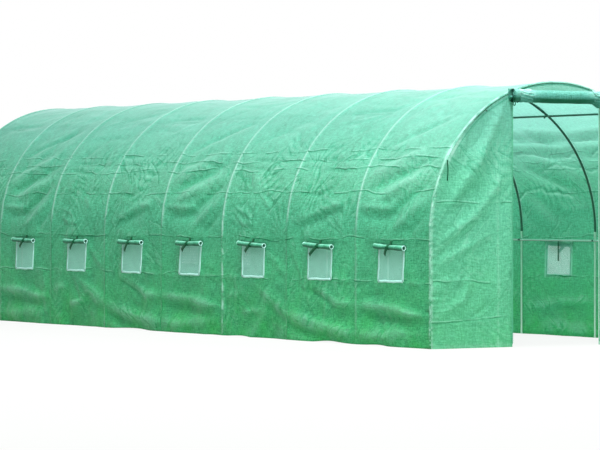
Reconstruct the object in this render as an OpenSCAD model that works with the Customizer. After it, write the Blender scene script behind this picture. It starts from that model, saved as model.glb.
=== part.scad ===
// Polytunnel greenhouse: a frame of bent tube hoops and straight purlins under a
// sewn cover, with netted windows along both sides and a roll-up door at the front.
// Millimetres, +Z up. The tunnel runs along Y and the door faces -Y.

/* [Tunnel] */
// Number of bays between hoops
bays = 8; // [3:1:12]
// Length of one bay, hoop to hoop
bay = 1000; // [800:10:1400]
// Height of the straight legs of a hoop
leg_h = 850; // [700:10:1100]
// Outer radius of the bent part of a hoop, half the frame's width
arch_r = 1150; // [1000:5:1600]

/* [Tubes] */
// Diameter of the hoop tubes
hoop_d = 18; // [16:1:32]
// Diameter of the joint sleeves on a hoop
sleeve_d = 21; // [19:1:36]
// Length of the sleeves on the bend of a hoop
sleeve_l = 90; // [50:5:160]
// Length of the sockets at the tops of the legs
socket_l = 45; // [30:5:60]
// Distance along the hoop from an upper purlin to the sleeve beside it
sleeve_gap = 30; // [25:5:80]
// Diameter of the purlin tubes
purlin_d = 16; // [12:1:25]
// Angle of the upper purlins from the ridge, in degrees
upper_angle = 35; // [26:1:40]
// Depth of the side purlins below the top of the legs
side_drop = 70; // [70:5:200]
// Diameter of the upright posts in the two ends
post_d = 18; // [16:1:32]

/* [Cover] */
// Thickness of the cover sheet
sheet_t = 2; // [1:0.5:4]
// Thickness of the end panels
panel_t = 2; // [1:0.5:4]
// Clearance between pieces that rest on each other
fit = 0.3; // [0.1:0.1:0.6]

/* [Door] */
// Width of the doorway
door_w = 820; // [600:10:1000]
// Depth of the head panel, from the top of the hoop down to the doorway
head_drop = 125; // [110:5:300]
// Diameter of the rolled-up door
roll_d = 114; // [80:2:150]
// Depth of the door roll's centre below the top of the hoop
roll_drop = 107; // [70:1:250]
// How far the door roll runs past the doorway on each side
roll_over = 40; // [0:5:120]
// Width of a door tie
door_tie_w = 50; // [20:2:80]
// Thickness of a door tie
door_tie_t = 2; // [1:0.5:4]
// Distance from the end of the door roll to a tie
door_tie_in = 110; // [40:5:250]
// Depth of a door tie's loose end below the roll's centre
door_tie_drop = 75; // [40:5:200]

/* [Windows] */
// Width of a window opening
win_w = 312; // [200:2:600]
// Height of a window opening
win_h = 250; // [150:5:320]
// Depth of a window's top edge below the top of the legs
win_drop = 100; // [90:5:200]
// Width of the binding sewn round a window
bind_w = 20; // [10:1:30]
// Thickness of the binding
bind_t = 1.5; // [1:0.5:3]
// Thickness of the window net
net_t = 1; // [0.5:0.5:2]
// Diameter of a rolled-up window flap
flap_d = 44; // [30:1:60]
// How far a flap roll runs past the opening on each side
flap_over = 40; // [10:2:80]
// Width of a window tie
tie_w = 16; // [8:1:30]
// Thickness of a window tie
tie_t = 1.5; // [1:0.5:3]
// Depth of a window tie's loose end below the roll's centre
tie_drop = 60; // [30:5:120]

/* [Hidden] */
$fn = 96;

// Hoop sizes
bend_r = arch_r - hoop_d / 2;
inner_r = arch_r - hoop_d;
sleeve_a = sleeve_l / bend_r * 180 / PI;
crown_a = 90 - upper_angle + sleeve_gap / bend_r * 180 / PI;

// Cover sizes
sheet_r = arch_r + (sleeve_d - hoop_d) / 2 + fit;
cover_r = sheet_r + sheet_t;
panel_r = sheet_r - fit;
strip_a = 30;

// Where the ends stand
run = bays * bay;
end_out = sleeve_d / 2 + fit + panel_t;
roll_out = end_out + fit + roll_d;
first_y = (roll_out - end_out - run) / 2;
last_y = first_y + run;
cover_l = run + 2 * end_out;

// Purlin and post places
purlin_r = inner_r - fit - purlin_d / 2;
side_z = leg_h - side_drop;
upper_x = purlin_r * sin(upper_angle);
upper_z = leg_h + purlin_r * cos(upper_angle);
post_x = door_w / 2 + post_d / 2;
post_h = leg_h + sqrt(inner_r * inner_r - pow(post_x + post_d / 2, 2)) - fit;

// Door places
hoop_top = leg_h + arch_r;
door_h = hoop_top - head_drop;
roll_z = hoop_top - roll_drop;

// Window places
sill_z = leg_h - win_drop - win_h;
net_w = win_w + 2 * bind_w;
net_h = win_h + 2 * bind_w;
bind_x = cover_r + net_t + bind_t;
flap_x = bind_x + fit + flap_d / 2;
flap_z = sill_z + win_h;
flap_l = win_w + 2 * flap_over;

// Colours
tube_c = [0.74, 0.77, 0.76];
sheet_c = [0.36, 0.72, 0.53];
panel_c = [0.48, 0.80, 0.64];
roll_c = [0.30, 0.62, 0.44];
bind_c = [0.80, 0.93, 0.86];
net_c = [0.36, 0.50, 0.42];
tie_c = [0.10, 0.32, 0.20];

// The legs of one side, each with a socket at the top for the bend above it
module legs(s) {
    color(tube_c)
    for (i = [0 : bays])
        translate([s * bend_r, first_y + i * bay, 0]) {
            cylinder(h = leg_h - socket_l, d = hoop_d);
            translate([0, 0, leg_h - socket_l])
                cylinder(h = socket_l, d = sleeve_d);
        }
}

// The lower bends of one side, from the legs up to the sleeves
module bends(s) {
    color(tube_c)
    for (i = [0 : bays])
        translate([0, first_y + i * bay, leg_h])
            rotate([90, 0, 0])
                arc(s > 0 ? 0 : 180 - crown_a, crown_a, hoop_d);
}

// The sleeves that join the bends to the crowns, two on each hoop
module crown_sleeves() {
    color(tube_c)
    for (i = [0 : bays])
        translate([0, first_y + i * bay, leg_h])
            rotate([90, 0, 0]) {
                arc(crown_a, sleeve_a, sleeve_d);
                arc(180 - crown_a - sleeve_a, sleeve_a, sleeve_d);
            }
}

// The crowns of the hoops, between the sleeves
module crowns() {
    color(tube_c)
    for (i = [0 : bays])
        translate([0, first_y + i * bay, leg_h])
            rotate([90, 0, 0])
                arc(crown_a + sleeve_a, 180 - 2 * (crown_a + sleeve_a), hoop_d);
}

// A length of bent tube, by its first angle, its sweep and its diameter
module arc(from, sweep, d) {
    rotate([0, 0, from])
        rotate_extrude(angle = sweep, $fn = 360)
            translate([bend_r, 0])
                circle(d = d, $fn = 32);
}

// A purlin: one straight run on the inner face of the hoops
module purlin(x, z) {
    color(tube_c)
    translate([x, first_y - hoop_d / 2, z])
        rotate([-90, 0, 0])
            cylinder(h = run + hoop_d, d = purlin_d);
}

// An end post: from the ground to the underside of the end hoop
module post(s, y) {
    color(tube_c)
    translate([s * post_x, y, 0])
        cylinder(h = post_h, d = post_d);
}

// A side wall of the cover, with a window opening in each bay
module wall_sheet(s) {
    color(sheet_c)
    difference() {
        translate([s > 0 ? sheet_r : -cover_r, first_y - end_out, 0])
            cube([sheet_t, cover_l, leg_h]);
        for (i = [0 : bays - 1])
            translate([s * (sheet_r + sheet_t / 2), window_y(i), sill_z + win_h / 2])
                cube([4 * sheet_t, win_w, win_h], center = true);
    }
}

// The middle of a bay
function window_y(i) = first_y + (i + 0.5) * bay;

// A strip of the roof, counted in steps from the right-hand eave
module roof_strip(n) {
    color(sheet_c)
    translate([0, last_y + end_out, leg_h])
        rotate([90, 0, 0])
            rotate([0, 0, n * strip_a])
                rotate_extrude(angle = strip_a)
                    translate([sheet_r, 0])
                        square([sheet_t, cover_l]);
}

// The outline of an end, just inside the cover
module end_outline() {
    translate([-panel_r, 0])
        square([2 * panel_r, leg_h]);
    translate([0, leg_h])
        intersection() {
            circle(r = panel_r, $fn = 720);
            translate([-panel_r, 0])
                square([2 * panel_r, panel_r]);
        }
}

// A front panel beside the doorway
module side_panel(s) {
    color(panel_c)
    translate([0, first_y - end_out + panel_t, 0])
        rotate([90, 0, 0])
            linear_extrude(panel_t)
                intersection() {
                    end_outline();
                    translate([s > 0 ? door_w / 2 : -panel_r, 0])
                        square([panel_r - door_w / 2, leg_h + panel_r]);
                }
}

// The front panel over the doorway
module head_panel() {
    color(panel_c)
    translate([0, first_y - end_out + panel_t, 0])
        rotate([90, 0, 0])
            linear_extrude(panel_t)
                intersection() {
                    end_outline();
                    translate([-door_w / 2, door_h])
                        square([door_w, leg_h + panel_r - door_h]);
                }
}

// The closed panel at the rear
module rear_panel() {
    color(panel_c)
    translate([0, last_y + end_out, 0])
        rotate([90, 0, 0])
            linear_extrude(panel_t)
                end_outline();
}

// The door, rolled up against the head of the doorway
module door_roll() {
    color(roll_c)
    translate([-door_w / 2 - roll_over, first_y - end_out - fit - roll_d / 2, roll_z])
        rotate([0, 90, 0])
            cylinder(h = door_w + 2 * roll_over, d = roll_d);
}

// The two ties that hold the door roll, each with a loose end hanging in front
module door_ties() {
    color(tie_c)
    for (s = [-1, 1])
        translate([s * (door_w / 2 + roll_over - door_tie_in), first_y - end_out, roll_z])
            difference() {
                translate([0, -fit - roll_d / 2, 0])
                    tie(roll_d, door_tie_w, door_tie_t, door_tie_drop);
                translate([-door_tie_w, -fit, -roll_d])
                    cube([2 * door_tie_w, roll_d, 2 * roll_d]);
            }
}

// A tie round a roll that lies along X, with its loose end on the -Y side
module tie(d, w, t, drop) {
    rotate([0, 90, 0])
        difference() {
            cylinder(h = w, d = d + 2 * fit + 2 * t, center = true);
            cylinder(h = 2 * w, d = d + 2 * fit, center = true);
        }
    translate([-w / 2, -d / 2 - fit - t, -drop])
        cube([w, t, drop]);
}

// The nets, one over each window opening
module window_nets(s) {
    color(net_c)
    for (i = [0 : bays - 1])
        translate([s * (cover_r + net_t / 2), window_y(i), sill_z + win_h / 2])
            cube([net_t, net_w, net_h], center = true);
}

// The bindings sewn round the edges of the nets
module window_bindings(s) {
    color(bind_c)
    for (i = [0 : bays - 1])
        translate([s * (bind_x - bind_t / 2), window_y(i), sill_z + win_h / 2])
            difference() {
                cube([bind_t, net_w, net_h], center = true);
                cube([4 * bind_t, win_w, win_h], center = true);
            }
}

// The window flaps, rolled up over the tops of the windows
module window_rolls(s) {
    color(roll_c)
    for (i = [0 : bays - 1])
        translate([s * flap_x, window_y(i) - flap_l / 2, flap_z])
            rotate([-90, 0, 0])
                cylinder(h = flap_l, d = flap_d);
}

// The ties round the window rolls
module window_ties(s) {
    color(tie_c)
    for (i = [0 : bays - 1])
        translate([s * bind_x, window_y(i), flap_z])
            rotate([0, 0, s > 0 ? 90 : -90])
                difference() {
                    translate([0, -fit - flap_d / 2, 0])
                        tie(flap_d, tie_w, tie_t, tie_drop);
                    translate([-tie_w, -fit, -flap_d])
                        cube([2 * tie_w, flap_d, 2 * flap_d]);
                }
}

legs(-1);  // left_legs
legs(1);  // right_legs
bends(-1);  // left_bends
bends(1);  // right_bends
crown_sleeves();
crowns();
purlin(-purlin_r, side_z);  // left_side_purlin
purlin(purlin_r, side_z);  // right_side_purlin
purlin(-upper_x, upper_z);  // left_upper_purlin
purlin(upper_x, upper_z);  // right_upper_purlin
post(-1, first_y);  // front_left_post
post(1, first_y);  // front_right_post
post(-1, last_y);  // rear_left_post
post(1, last_y);  // rear_right_post
wall_sheet(-1);  // left_wall_sheet
roof_strip(5);  // left_eave_sheet
roof_strip(4);  // left_haunch_sheet
roof_strip(3);  // left_crown_sheet
roof_strip(2);  // right_crown_sheet
roof_strip(1);  // right_haunch_sheet
roof_strip(0);  // right_eave_sheet
wall_sheet(1);  // right_wall_sheet
side_panel(-1);  // front_left_panel
side_panel(1);  // front_right_panel
head_panel();  // front_head_panel
rear_panel();
door_roll();
door_ties();
window_nets(-1);  // left_window_nets
window_nets(1);  // right_window_nets
window_bindings(-1);  // left_window_bindings
window_bindings(1);  // right_window_bindings
window_rolls(-1);  // left_window_rolls
window_rolls(1);  // right_window_rolls
window_ties(-1);  // left_window_ties
window_ties(1);  // right_window_ties
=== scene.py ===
"""A walk-in polytunnel: woven cover on a tube frame, netted windows, roll-up door."""
import math
import random

import bpy
import numpy as np
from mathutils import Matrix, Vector


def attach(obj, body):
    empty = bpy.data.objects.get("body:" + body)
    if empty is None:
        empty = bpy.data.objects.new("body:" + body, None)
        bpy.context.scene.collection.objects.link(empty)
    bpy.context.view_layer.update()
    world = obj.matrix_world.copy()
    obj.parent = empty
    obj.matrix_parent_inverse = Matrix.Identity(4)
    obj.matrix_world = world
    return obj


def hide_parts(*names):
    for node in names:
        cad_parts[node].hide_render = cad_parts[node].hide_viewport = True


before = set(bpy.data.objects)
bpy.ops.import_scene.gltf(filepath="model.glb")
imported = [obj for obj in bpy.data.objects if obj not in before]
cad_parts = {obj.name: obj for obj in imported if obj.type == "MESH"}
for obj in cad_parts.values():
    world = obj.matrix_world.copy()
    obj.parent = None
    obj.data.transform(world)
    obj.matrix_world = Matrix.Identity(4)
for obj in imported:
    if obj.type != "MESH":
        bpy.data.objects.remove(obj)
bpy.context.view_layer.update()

# Sizes in metres, as in the part's source
BAYS, BAY = 8, 1.0
LEG, ARCH = 0.85, 1.15
FIRST_Y = -3.94285
LAST_Y = FIRST_Y + BAYS * BAY
HOOP_D, PURLIN_D = 0.018, 0.016
END_OUT = 0.0128
FRONT_Y, REAR_Y = FIRST_Y - END_OUT, LAST_Y + END_OUT
SHEET_R = ARCH + 0.0028
END_R = SHEET_R - 0.004
HOOP_R = ARCH - HOOP_D / 2
DOOR_HALF, HEAD_Z = 0.41, 1.875
ROLL_Z, ROLL_R = 1.889, 0.052
WIN_HALF, SILL_Z, WIN_TOP = 0.156, 0.50, 0.75
BIND, FLAP_R = 0.020, 0.022
SIDE_PURLIN, UPPER_PURLIN_ANGLE = 0.78, math.radians(55)
SEAM_HOOPS, SEAM_H = (0, 3, 8), 0.787

# Places round the girth, from the left foot over the arch to the right foot
S_ALL = 2 * LEG + math.pi * SHEET_R
CROWN = S_ALL / 2
UPPER_PURLIN = LEG + SHEET_R * UPPER_PURLIN_ANGLE

TURN = 2 * math.pi
WORDS = {-1: "left", 1: "right"}


# Noise and curves on arrays
CELLS = 256


def noise2(x, y, seed):
    """Smooth noise from -1 to 1."""
    t = np.random.RandomState(seed).uniform(-1, 1, (CELLS, CELLS))
    xi, yi = np.floor(x).astype(int), np.floor(y).astype(int)
    fx, fy = x - xi, y - yi
    fx, fy = fx * fx * (3 - 2 * fx), fy * fy * (3 - 2 * fy)
    x0, x1 = xi % CELLS, (xi + 1) % CELLS
    y0, y1 = yi % CELLS, (yi + 1) % CELLS
    low = t[x0, y0] * (1 - fx) + t[x1, y0] * fx
    high = t[x0, y1] * (1 - fx) + t[x1, y1] * fx
    return low * (1 - fy) + high * fy


def fbm(x, y, seed):
    """Noise in three octaves, from -1 to 1."""
    return sum(noise2(x * 2 ** o, y * 2 ** o, seed + o) / 2 ** o for o in range(3)) / 1.75


def ridge(x, y, seed):
    """Folds: sharp along their tops."""
    return 1 - 2.2 * np.abs(noise2(x, y, seed))


def step(lo, hi, x):
    """0 up to lo, 1 from hi on, and a smooth rise between."""
    t = np.clip((x - lo) / (hi - lo), 0, 1)
    return t * t * (3 - 2 * t)


def bell(x, width, power=2):
    """1 at zero and falling off on both sides; a higher power has a flatter top."""
    return np.exp(-(x / width) ** power)


# Meshes
def mesh_object(name, points, faces, uv=None, tone=None):
    """A smooth piece; tone says how pale (above 0) or dark (below 0) the cloth is at each point, mostly as
    painted light and shade.
    """
    me = bpy.data.meshes.new(name)
    me.from_pydata([tuple(p) for p in points], [], faces)
    me.polygons.foreach_set("use_smooth", [True] * len(me.polygons))
    loops = np.zeros(len(me.loops), dtype=np.int32)
    me.loops.foreach_get("vertex_index", loops)
    if uv is not None:
        layer = me.uv_layers.new(name="cloth")
        layer.data.foreach_set("uv", np.asarray(uv, dtype=np.float32)[loops].ravel())
    values = np.zeros(len(points)) if tone is None else np.asarray(tone)
    att = me.attributes.new("tone", "FLOAT", "POINT")
    att.data.foreach_set("value", values.astype(np.float32).ravel())
    me.update()
    ob = bpy.data.objects.new(name, me)
    bpy.context.scene.collection.objects.link(ob)
    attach(ob, "root")
    return ob


def rows(*arrays):
    """Grids of single values as one list of points."""
    return np.stack(arrays, -1).reshape(-1, len(arrays))


def grid_faces(count, cols, skip=None, flip=False):
    """Faces of a grid with count rows; skip marks the ones to leave out."""
    out = []
    for i in range(count - 1):
        for j in range(cols - 1):
            if skip is not None and skip[i, j]:
                continue
            a, b = i * cols + j, i * cols + j + 1
            c, d = b + cols, a + cols
            out.append((a, d, c, b) if flip else (a, b, c, d))
    return out


class Bag:
    """Collects the faces of several forms into one piece."""

    def __init__(self):
        self.points, self.faces, self.uv, self.tone = [], [], [], []

    def add(self, points, faces, uv=None, tone=None):
        n = len(self.points)
        points = [tuple(p) for p in points]
        self.points += points
        self.faces += [tuple(i + n for i in f) for f in faces]
        self.uv += uv or [(p[1], p[2]) for p in points]
        self.tone += tone or [0.0] * len(points)

    def make(self, name):
        return mesh_object(name, self.points, self.faces, self.uv, self.tone)


def direction(path, i):
    """The direction of a path of vectors at one of its points."""
    return (path[min(i + 1, len(path) - 1)] - path[max(i - 1, 0)]).normalized()


def skin_faces(rings, sides, capped=True):
    """Faces round a row of rings, and over both ends where they are capped."""
    faces = []
    for i in range(rings - 1):
        for k in range(sides):
            a, b = i * sides + k, i * sides + (k + 1) % sides
            faces.append((a, b, b + sides, a + sides))
    if capped:
        faces.append(tuple(range(sides - 1, -1, -1)))
        faces.append(tuple(range((rings - 1) * sides, rings * sides)))
    return faces


def tube(path, radius, sides=10, capped=True):
    """Points and faces of a tube along a path; radius may change along it."""
    path = [Vector(p) for p in path]
    radii = list(radius) if hasattr(radius, "__len__") else [radius] * len(path)
    points = []
    normal = direction(path, 0).orthogonal().normalized()
    for i, p in enumerate(path):
        t = direction(path, i)
        normal = (normal - t * normal.dot(t)).normalized()
        side = t.cross(normal)
        for k in range(sides):
            a = TURN * k / sides
            points.append(p + (normal * math.cos(a) + side * math.sin(a)) * radii[i])
    return points, skin_faces(len(path), sides, capped)


def ribbon(path, width_dir, width, thick=0.0012):
    """A flat tape along a path, with its width along width_dir."""
    path = [Vector(p) for p in path]
    w = Vector(width_dir).normalized()
    points = []
    for i, p in enumerate(path):
        t = direction(path, i)
        side = (w - t * w.dot(t)).normalized()
        n = t.cross(side)
        for a, b in ((-1, -1), (1, -1), (1, 1), (-1, 1)):
            points.append(p + side * (a * width / 2) + n * (b * thick / 2))
    return points, skin_faces(len(path), 4)


def running_lengths(points):
    """The distance along a line of points at each of them."""
    dist = [0.0]
    for p, q in zip(points, points[1:]):
        dist.append(dist[-1] + math.dist(p, q))
    return dist


def arc(r, first, last, count):
    """Points of a circle or part of one as (across, up)."""
    return [(r * math.cos(a), r * math.sin(a)) for a in np.linspace(first, last, count)]


# Shader nodes
class Value:
    """An output of a shader node; arithmetic with it adds maths nodes."""

    def __init__(self, graph, socket):
        self.graph, self.socket = graph, socket

    def math(self, operation, other=0.0):
        return self.graph.add("Math", {0: self, 1: other}, operation=operation)

    def __add__(self, other):
        return self.math("ADD", other)

    def __sub__(self, other):
        return self.math("SUBTRACT", other)

    def __rsub__(self, other):
        return self.graph.add("Math", {0: other, 1: self}, operation="SUBTRACT")

    def __mul__(self, other):
        return self.math("MULTIPLY", other)

    def __truediv__(self, other):
        return self.math("DIVIDE", other)

    def at_least(self, other):
        return self.math("MAXIMUM", other)

    def at_most(self, other):
        return self.math("MINIMUM", other)

    def bell(self):
        return (self * self * -1.0).math("EXPONENT")

    def clamped(self):
        """The same sum, kept from 0 to 1."""
        self.socket.node.use_clamp = True
        return self


class Graph:
    """A node tree with short ways to add nodes to it."""

    def __init__(self, tree):
        self.tree = tree
        tree.nodes.clear()

    def feed(self, socket, value):
        if isinstance(value, Value):
            self.tree.links.new(value.socket, socket)
        elif socket.type == "RGBA":
            socket.default_value = (*value, 1.0)
        else:
            socket.default_value = value

    def add(self, kind, inputs=None, out=0, **settings):
        made = self.tree.nodes.new("ShaderNode" + kind)
        for key, value in settings.items():
            setattr(made, key, value)
        for key, value in (inputs or {}).items():
            self.feed(made.inputs[key], value)
        return Value(self, made.outputs[out]) if made.outputs else None

    def split(self, vector):
        made = self.add("SeparateXYZ", {0: vector}).socket.node
        return [Value(self, socket) for socket in made.outputs]

    def mapped(self, vector, **how):
        return self.add("Mapping", {"Vector": vector, **how})

    def noise(self, vector, scale, detail, dimensions="3D", kind="FBM", **more):
        inputs = {"Vector": vector, "Scale": scale, "Detail": detail, **more}
        return self.add("TexNoise", inputs, noise_dimensions=dimensions, noise_type=kind)

    def ramp(self, value, low, high, first=0.0, last=1.0, smooth=False):
        """first up to low, last from high on, and a rise between."""
        inputs = {"Value": value, "From Min": low, "From Max": high, "To Min": first, "To Max": last}
        return self.add("MapRange", inputs, interpolation_type="SMOOTHSTEP" if smooth else "LINEAR")

    def mix(self, share, a, b, blend="MIX"):
        return self.add("Mix", {0: share, 6: a, 7: b}, 2, data_type="RGBA", blend_type=blend)

    def bump(self, height, strength, distance, **more):
        return self.add("Bump", {"Height": height, "Strength": strength, "Distance": distance, **more})

    def skin(self, color, roughness, normal, specular=0.5, metallic=0.0):
        return self.add("BsdfPrincipled", {"Base Color": color, "Roughness": roughness, "Normal": normal,
                                           "Specular IOR Level": specular, "Metallic": metallic})

    def blend(self, share, first, second):
        return self.add("MixShader", {0: share, 1: first, 2: second})


def new_material(name):
    made = bpy.data.materials.new(name)
    made.use_nodes = True
    return made, Graph(made.node_tree)


def lin(r, g, b):
    """Display colour, 0 to 255, as linear light."""
    def one(c):
        c /= 255
        return c / 12.92 if c <= 0.04045 else ((c + 0.055) / 1.055) ** 2.4
    return one(r), one(g), one(b)


def scaled(color, *by):
    """A colour with its parts multiplied, all by one number or each by its own."""
    return tuple(c * k for c, k in zip(color, by * (3 // len(by))))


# Cloth materials
# Wrinkles: sets as (lean, pitch along, pitch across), and pleats as (lean, pitch, shift)
WRINKLES = ((0.72, 1.6, 8.0), (-0.62, 1.9, 9.0))
PLEATS = ((0.70, 0.074, 0.0), (-0.55, 0.065, 3.7), (1.30, 0.082, 7.9))
PLEAT_SHARE = 0.8
WRINKLE_SHARP, WRINKLE_GAIN = 0.022, 2.3
# Long creases as (width, wander, painted highlight on the edge, painted shade in the line)
PACKING_CREASE = (0.0045, 0.05, 0.26, 0.75)
SWAG = (0.011, 0.13, 0.5, 0.5)
# The woven tapes: repeats in a metre along and across a tape, its width and the line between two
SLUB_LONG, SLUB_SHORT = 16.0, 110.0
TAPE, TAPE_LINE = 0.010, 0.0016
# Tints of painted shade at the foot, darker and greener, and of a painted sky reflection on the roof,
# bluer, and the colour of the glossy film
FOOT_SHADE_TINT = (0.42, 0.82, 0.34)
ROOF_REFLECTION_TINT = (0.79, 0.79, 0.92)
FILM = (0.77, 0.96, 0.97)
# The net's pitch and the share of it that a thread takes, and the rib of a tape
NET_PITCH, THREAD = 0.004, 0.62
RIB, RIB_LINE = 0.003, 0.0015


def bands(coord, period, width):
    """1 on thin lines that repeat along one coordinate."""
    away = ((coord / period).math("FRACT") - 0.5).math("ABSOLUTE")
    return away.math("LESS_THAN", width / period / 2)


def crease_line(g, place, along, at, seed, width, wander, pale, dark):
    """A crease near one height: a thin line of painted shade with a painted highlight on its edge,
    wandering and broken.
    """
    def wave(pitch, shift):
        inputs = {"W": along * pitch + shift, "Scale": 1.0, "Detail": 3.0}
        return g.add("TexNoise", inputs, noise_dimensions="1D")

    gap = place - at - (wave(1.6, seed) - 0.5) * (2 * wander)
    whole = g.ramp(wave(2.7, seed + 40.0), 0.41, 0.56, smooth=True)
    edge = ((gap - 2 * width) / width).bell() * pale
    return (edge - (gap / width).bell() * dark) * whole


def strokes(g, uv, lean, along, across):
    """Short wrinkles in one direction, with painted light on one side and painted shade on the other, from
    -1 to 1.
    """
    turned = g.mapped(uv, Rotation=(0.0, 0.0, lean))
    drawn = g.mapped(turned, Scale=(along, across, 1.0))
    x = (g.noise(drawn, 1.0, 1.5, "2D", Distortion=0.35) - 0.5) / WRINKLE_SHARP
    return x * x.bell() * WRINKLE_GAIN


def pleats(g, uv, lean, pitch, shift):
    """Sets of wavy parallel wrinkles in patches of the cloth, from -1 to 1."""
    across = g.split(g.mapped(uv, Rotation=(0.0, 0.0, lean)))[1]
    moved = g.mapped(uv, Location=(shift, shift, 0.0))
    bent = across + g.noise(moved, 3.4, 2.0) * 0.30
    wave = (bent * (TURN / pitch)).math("SINE")
    patch = g.ramp(g.noise(moved, 2.7, 1.5), 0.53, 0.68, smooth=True)
    return wave * (wave * wave) * patch


def wrinkles(g, uv, strength):
    """Wrinkles that lean one way in some patches and the other way in the rest, and pleats."""
    where = g.noise(uv, 1.9, 3.0, "2D")
    parts = []
    for side, wrinkle in zip((1, -1), WRINKLES):
        patch = g.ramp(where, 0.5 + 0.02 * side, 0.5 + 0.10 * side, smooth=True)
        parts.append(strokes(g, uv, *wrinkle) * patch)
    for pleat in PLEATS:
        parts.append(pleats(g, uv, *pleat) * PLEAT_SHARE)
    total = parts[0]
    for part in parts[1:]:
        total = total + part
    return total * strength


def smooth_bays(g, along):
    """The share of small wrinkles: low in every third bay, which broad folds draw smooth."""
    third = ((along - FIRST_Y) / (3 * BAY)).math("FRACT")
    return g.ramp(third, 0.31, 0.35, first=0.4)


def dark_sided(marks, pale=0.5, dark=1.35):
    """Marks from -1 to 1 with their pale sides softened and their dark sides deepened."""
    return marks.at_least(0.0) * pale + marks.at_most(0.0) * dark


def weave_color(g, uv, cloud, deep, mid, pale, speckle):
    """Crossed tapes of uneven shade, with specks on them and pale lines between them."""
    along, up, _ = g.split(uv)
    warp = g.noise(g.mapped(uv, Scale=(SLUB_LONG, SLUB_SHORT, 1.0)), 1.0, 2.0)
    weft = g.noise(g.mapped(uv, Scale=(SLUB_SHORT, SLUB_LONG, 1.0)), 1.0, 2.0)
    grain = (warp + weft) * 1.2 + g.noise(uv, 78.0, 2.0) * speckle
    shade = cloud * 0.9 + grain * 1.25
    color = g.mix((shade - (1.445 + 0.625 * speckle)).clamped(), deep, mid)
    lines = bands(along, TAPE, TAPE_LINE).at_least(bands(up, TAPE, TAPE_LINE))
    return g.mix(lines * 0.16, color, pale)


def cloth_marks(g, uv, height, creases, swags, girth, rough_folds):
    """Wrinkles and creases as painted light and shade: above 0 on their pale sides and below 0 on their
    dark ones; they also drive a bump.
    """
    along, up, _ = g.split(uv)
    place = up
    calm = g.ramp(height, 1.40, 1.65, 1.0, 0.12) * g.ramp(height, 0.70, 1.00, 0.75, 1.0)
    if girth:
        place = girth / 2 - (up - girth / 2).math("ABSOLUTE")
        calm = calm * smooth_bays(g, along)
    marks = dark_sided(wrinkles(g, uv, rough_folds) * calm)
    for i, at in enumerate(creases):
        marks = marks + crease_line(g, place, along, at, 7.3 * i, *PACKING_CREASE)
    for i, at in enumerate(swags):
        marks = marks + crease_line(g, up, along, at, 3.1 + 5.7 * i, *SWAG)
    return marks


def woven_sheet(name, deep, mid, pale, through, clear=0.37, creases=(), swags=(), girth=None,
                rough_folds=0.26, speckle=1.0, foot=1.45, sheen=0.6, painted_top_glow=None):
    """Woven polyethylene: crossed tapes under a thin film, creased, lit through, glossy at a low angle.
    creases are heights, swags are places round the girth, and girth is given where both walls share
    one sheet."""
    made, g = new_material(name)
    uv = g.add("UVMap", uv_map="cloth")
    height = g.split(g.add("TexCoord", out="Object"))[2]
    cloud = g.noise(uv, 3.0, 5.0, Roughness=0.62)
    high = g.ramp(height, 1.25, 1.75)
    # painted shade: the cloth darker and greener towards the foot, in patches, in its colour and in the
    # light it lets through
    foot_shade = (g.ramp(height, 0.0, 0.95, foot, 0.0) * cloud).clamped()
    color = weave_color(g, uv, cloud, deep, mid, pale, speckle)
    # painted reflection: the roof tinted bluer, for the sky that it reflects
    color = g.mix(high, color, ROOF_REFLECTION_TINT, "MULTIPLY")
    color = g.mix(foot_shade, color, FOOT_SHADE_TINT, "MULTIPLY")
    lit = g.mix(foot_shade, through, FOOT_SHADE_TINT, "MULTIPLY")
    marks = cloth_marks(g, uv, height, creases, swags, girth, rough_folds)
    # the tone attribute and the marks are mostly painted light and shade: pale toward the pale colour, dark
    # toward a deeper green
    tone = g.add("Attribute", out="Fac", attribute_name="tone") + marks
    color = g.mix(tone.at_least(0.0).clamped(), color, pale)
    color = g.mix((tone.at_most(0.0) * -1.0).clamped(), color, scaled(deep, 0.16, 0.40, 0.30))
    ridges = g.noise(uv, 6.0, 4.0, kind="RIDGED_MULTIFRACTAL", Roughness=0.5, Distortion=0.7)
    crumpled = g.bump(ridges, 1.0, 0.008)
    rough = g.bump(g.noise(uv, 38.0, 3.0, Distortion=0.8), 1.0, 0.005, Normal=crumpled)
    creased = g.bump(marks, 0.6, 0.006, Normal=rough)
    skin = g.skin(color, 0.5, creased, specular=0.05)
    lit = g.mix(0.55, color, lit)
    # painted light: on the roof the cloth lets through paler light
    if painted_top_glow:
        lit = g.mix(high, lit, painted_top_glow)
    glow = g.add("BsdfTranslucent", {"Color": lit, "Normal": rough})
    film = g.add("BsdfGlossy", {"Color": FILM, "Roughness": 0.32, "Normal": crumpled})
    gloss = g.add("LayerWeight", {"Blend": 0.5}, "Facing").math("POWER", 6.0) * sheen
    g.add("OutputMaterial", {0: g.blend(gloss, g.blend(clear, skin, glow), film)})
    return made


def tape(name, color, stitch, clear=0.0):
    """A woven tape with a fine rib and small colour changes; clear is the share of light let through."""
    made, g = new_material(name)
    co = g.add("TexCoord", out="Object")
    _, along, up = g.split(co)
    shade = g.mix(g.noise(co, 60.0, 4.0), scaled(color, 0.72), color)
    shade = g.mix(g.noise(co, 6.0, 3.0) * 0.4, shade, stitch)
    rib = g.bump(bands(up, RIB, RIB_LINE) + bands(along, RIB, RIB_LINE), 0.5, 0.0006)
    skin = g.skin(shade, 0.6, rib, specular=0.15)
    glow = g.add("BsdfTranslucent", {"Color": shade})
    g.add("OutputMaterial", {0: g.blend(clear, skin, glow)})
    return made


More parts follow.
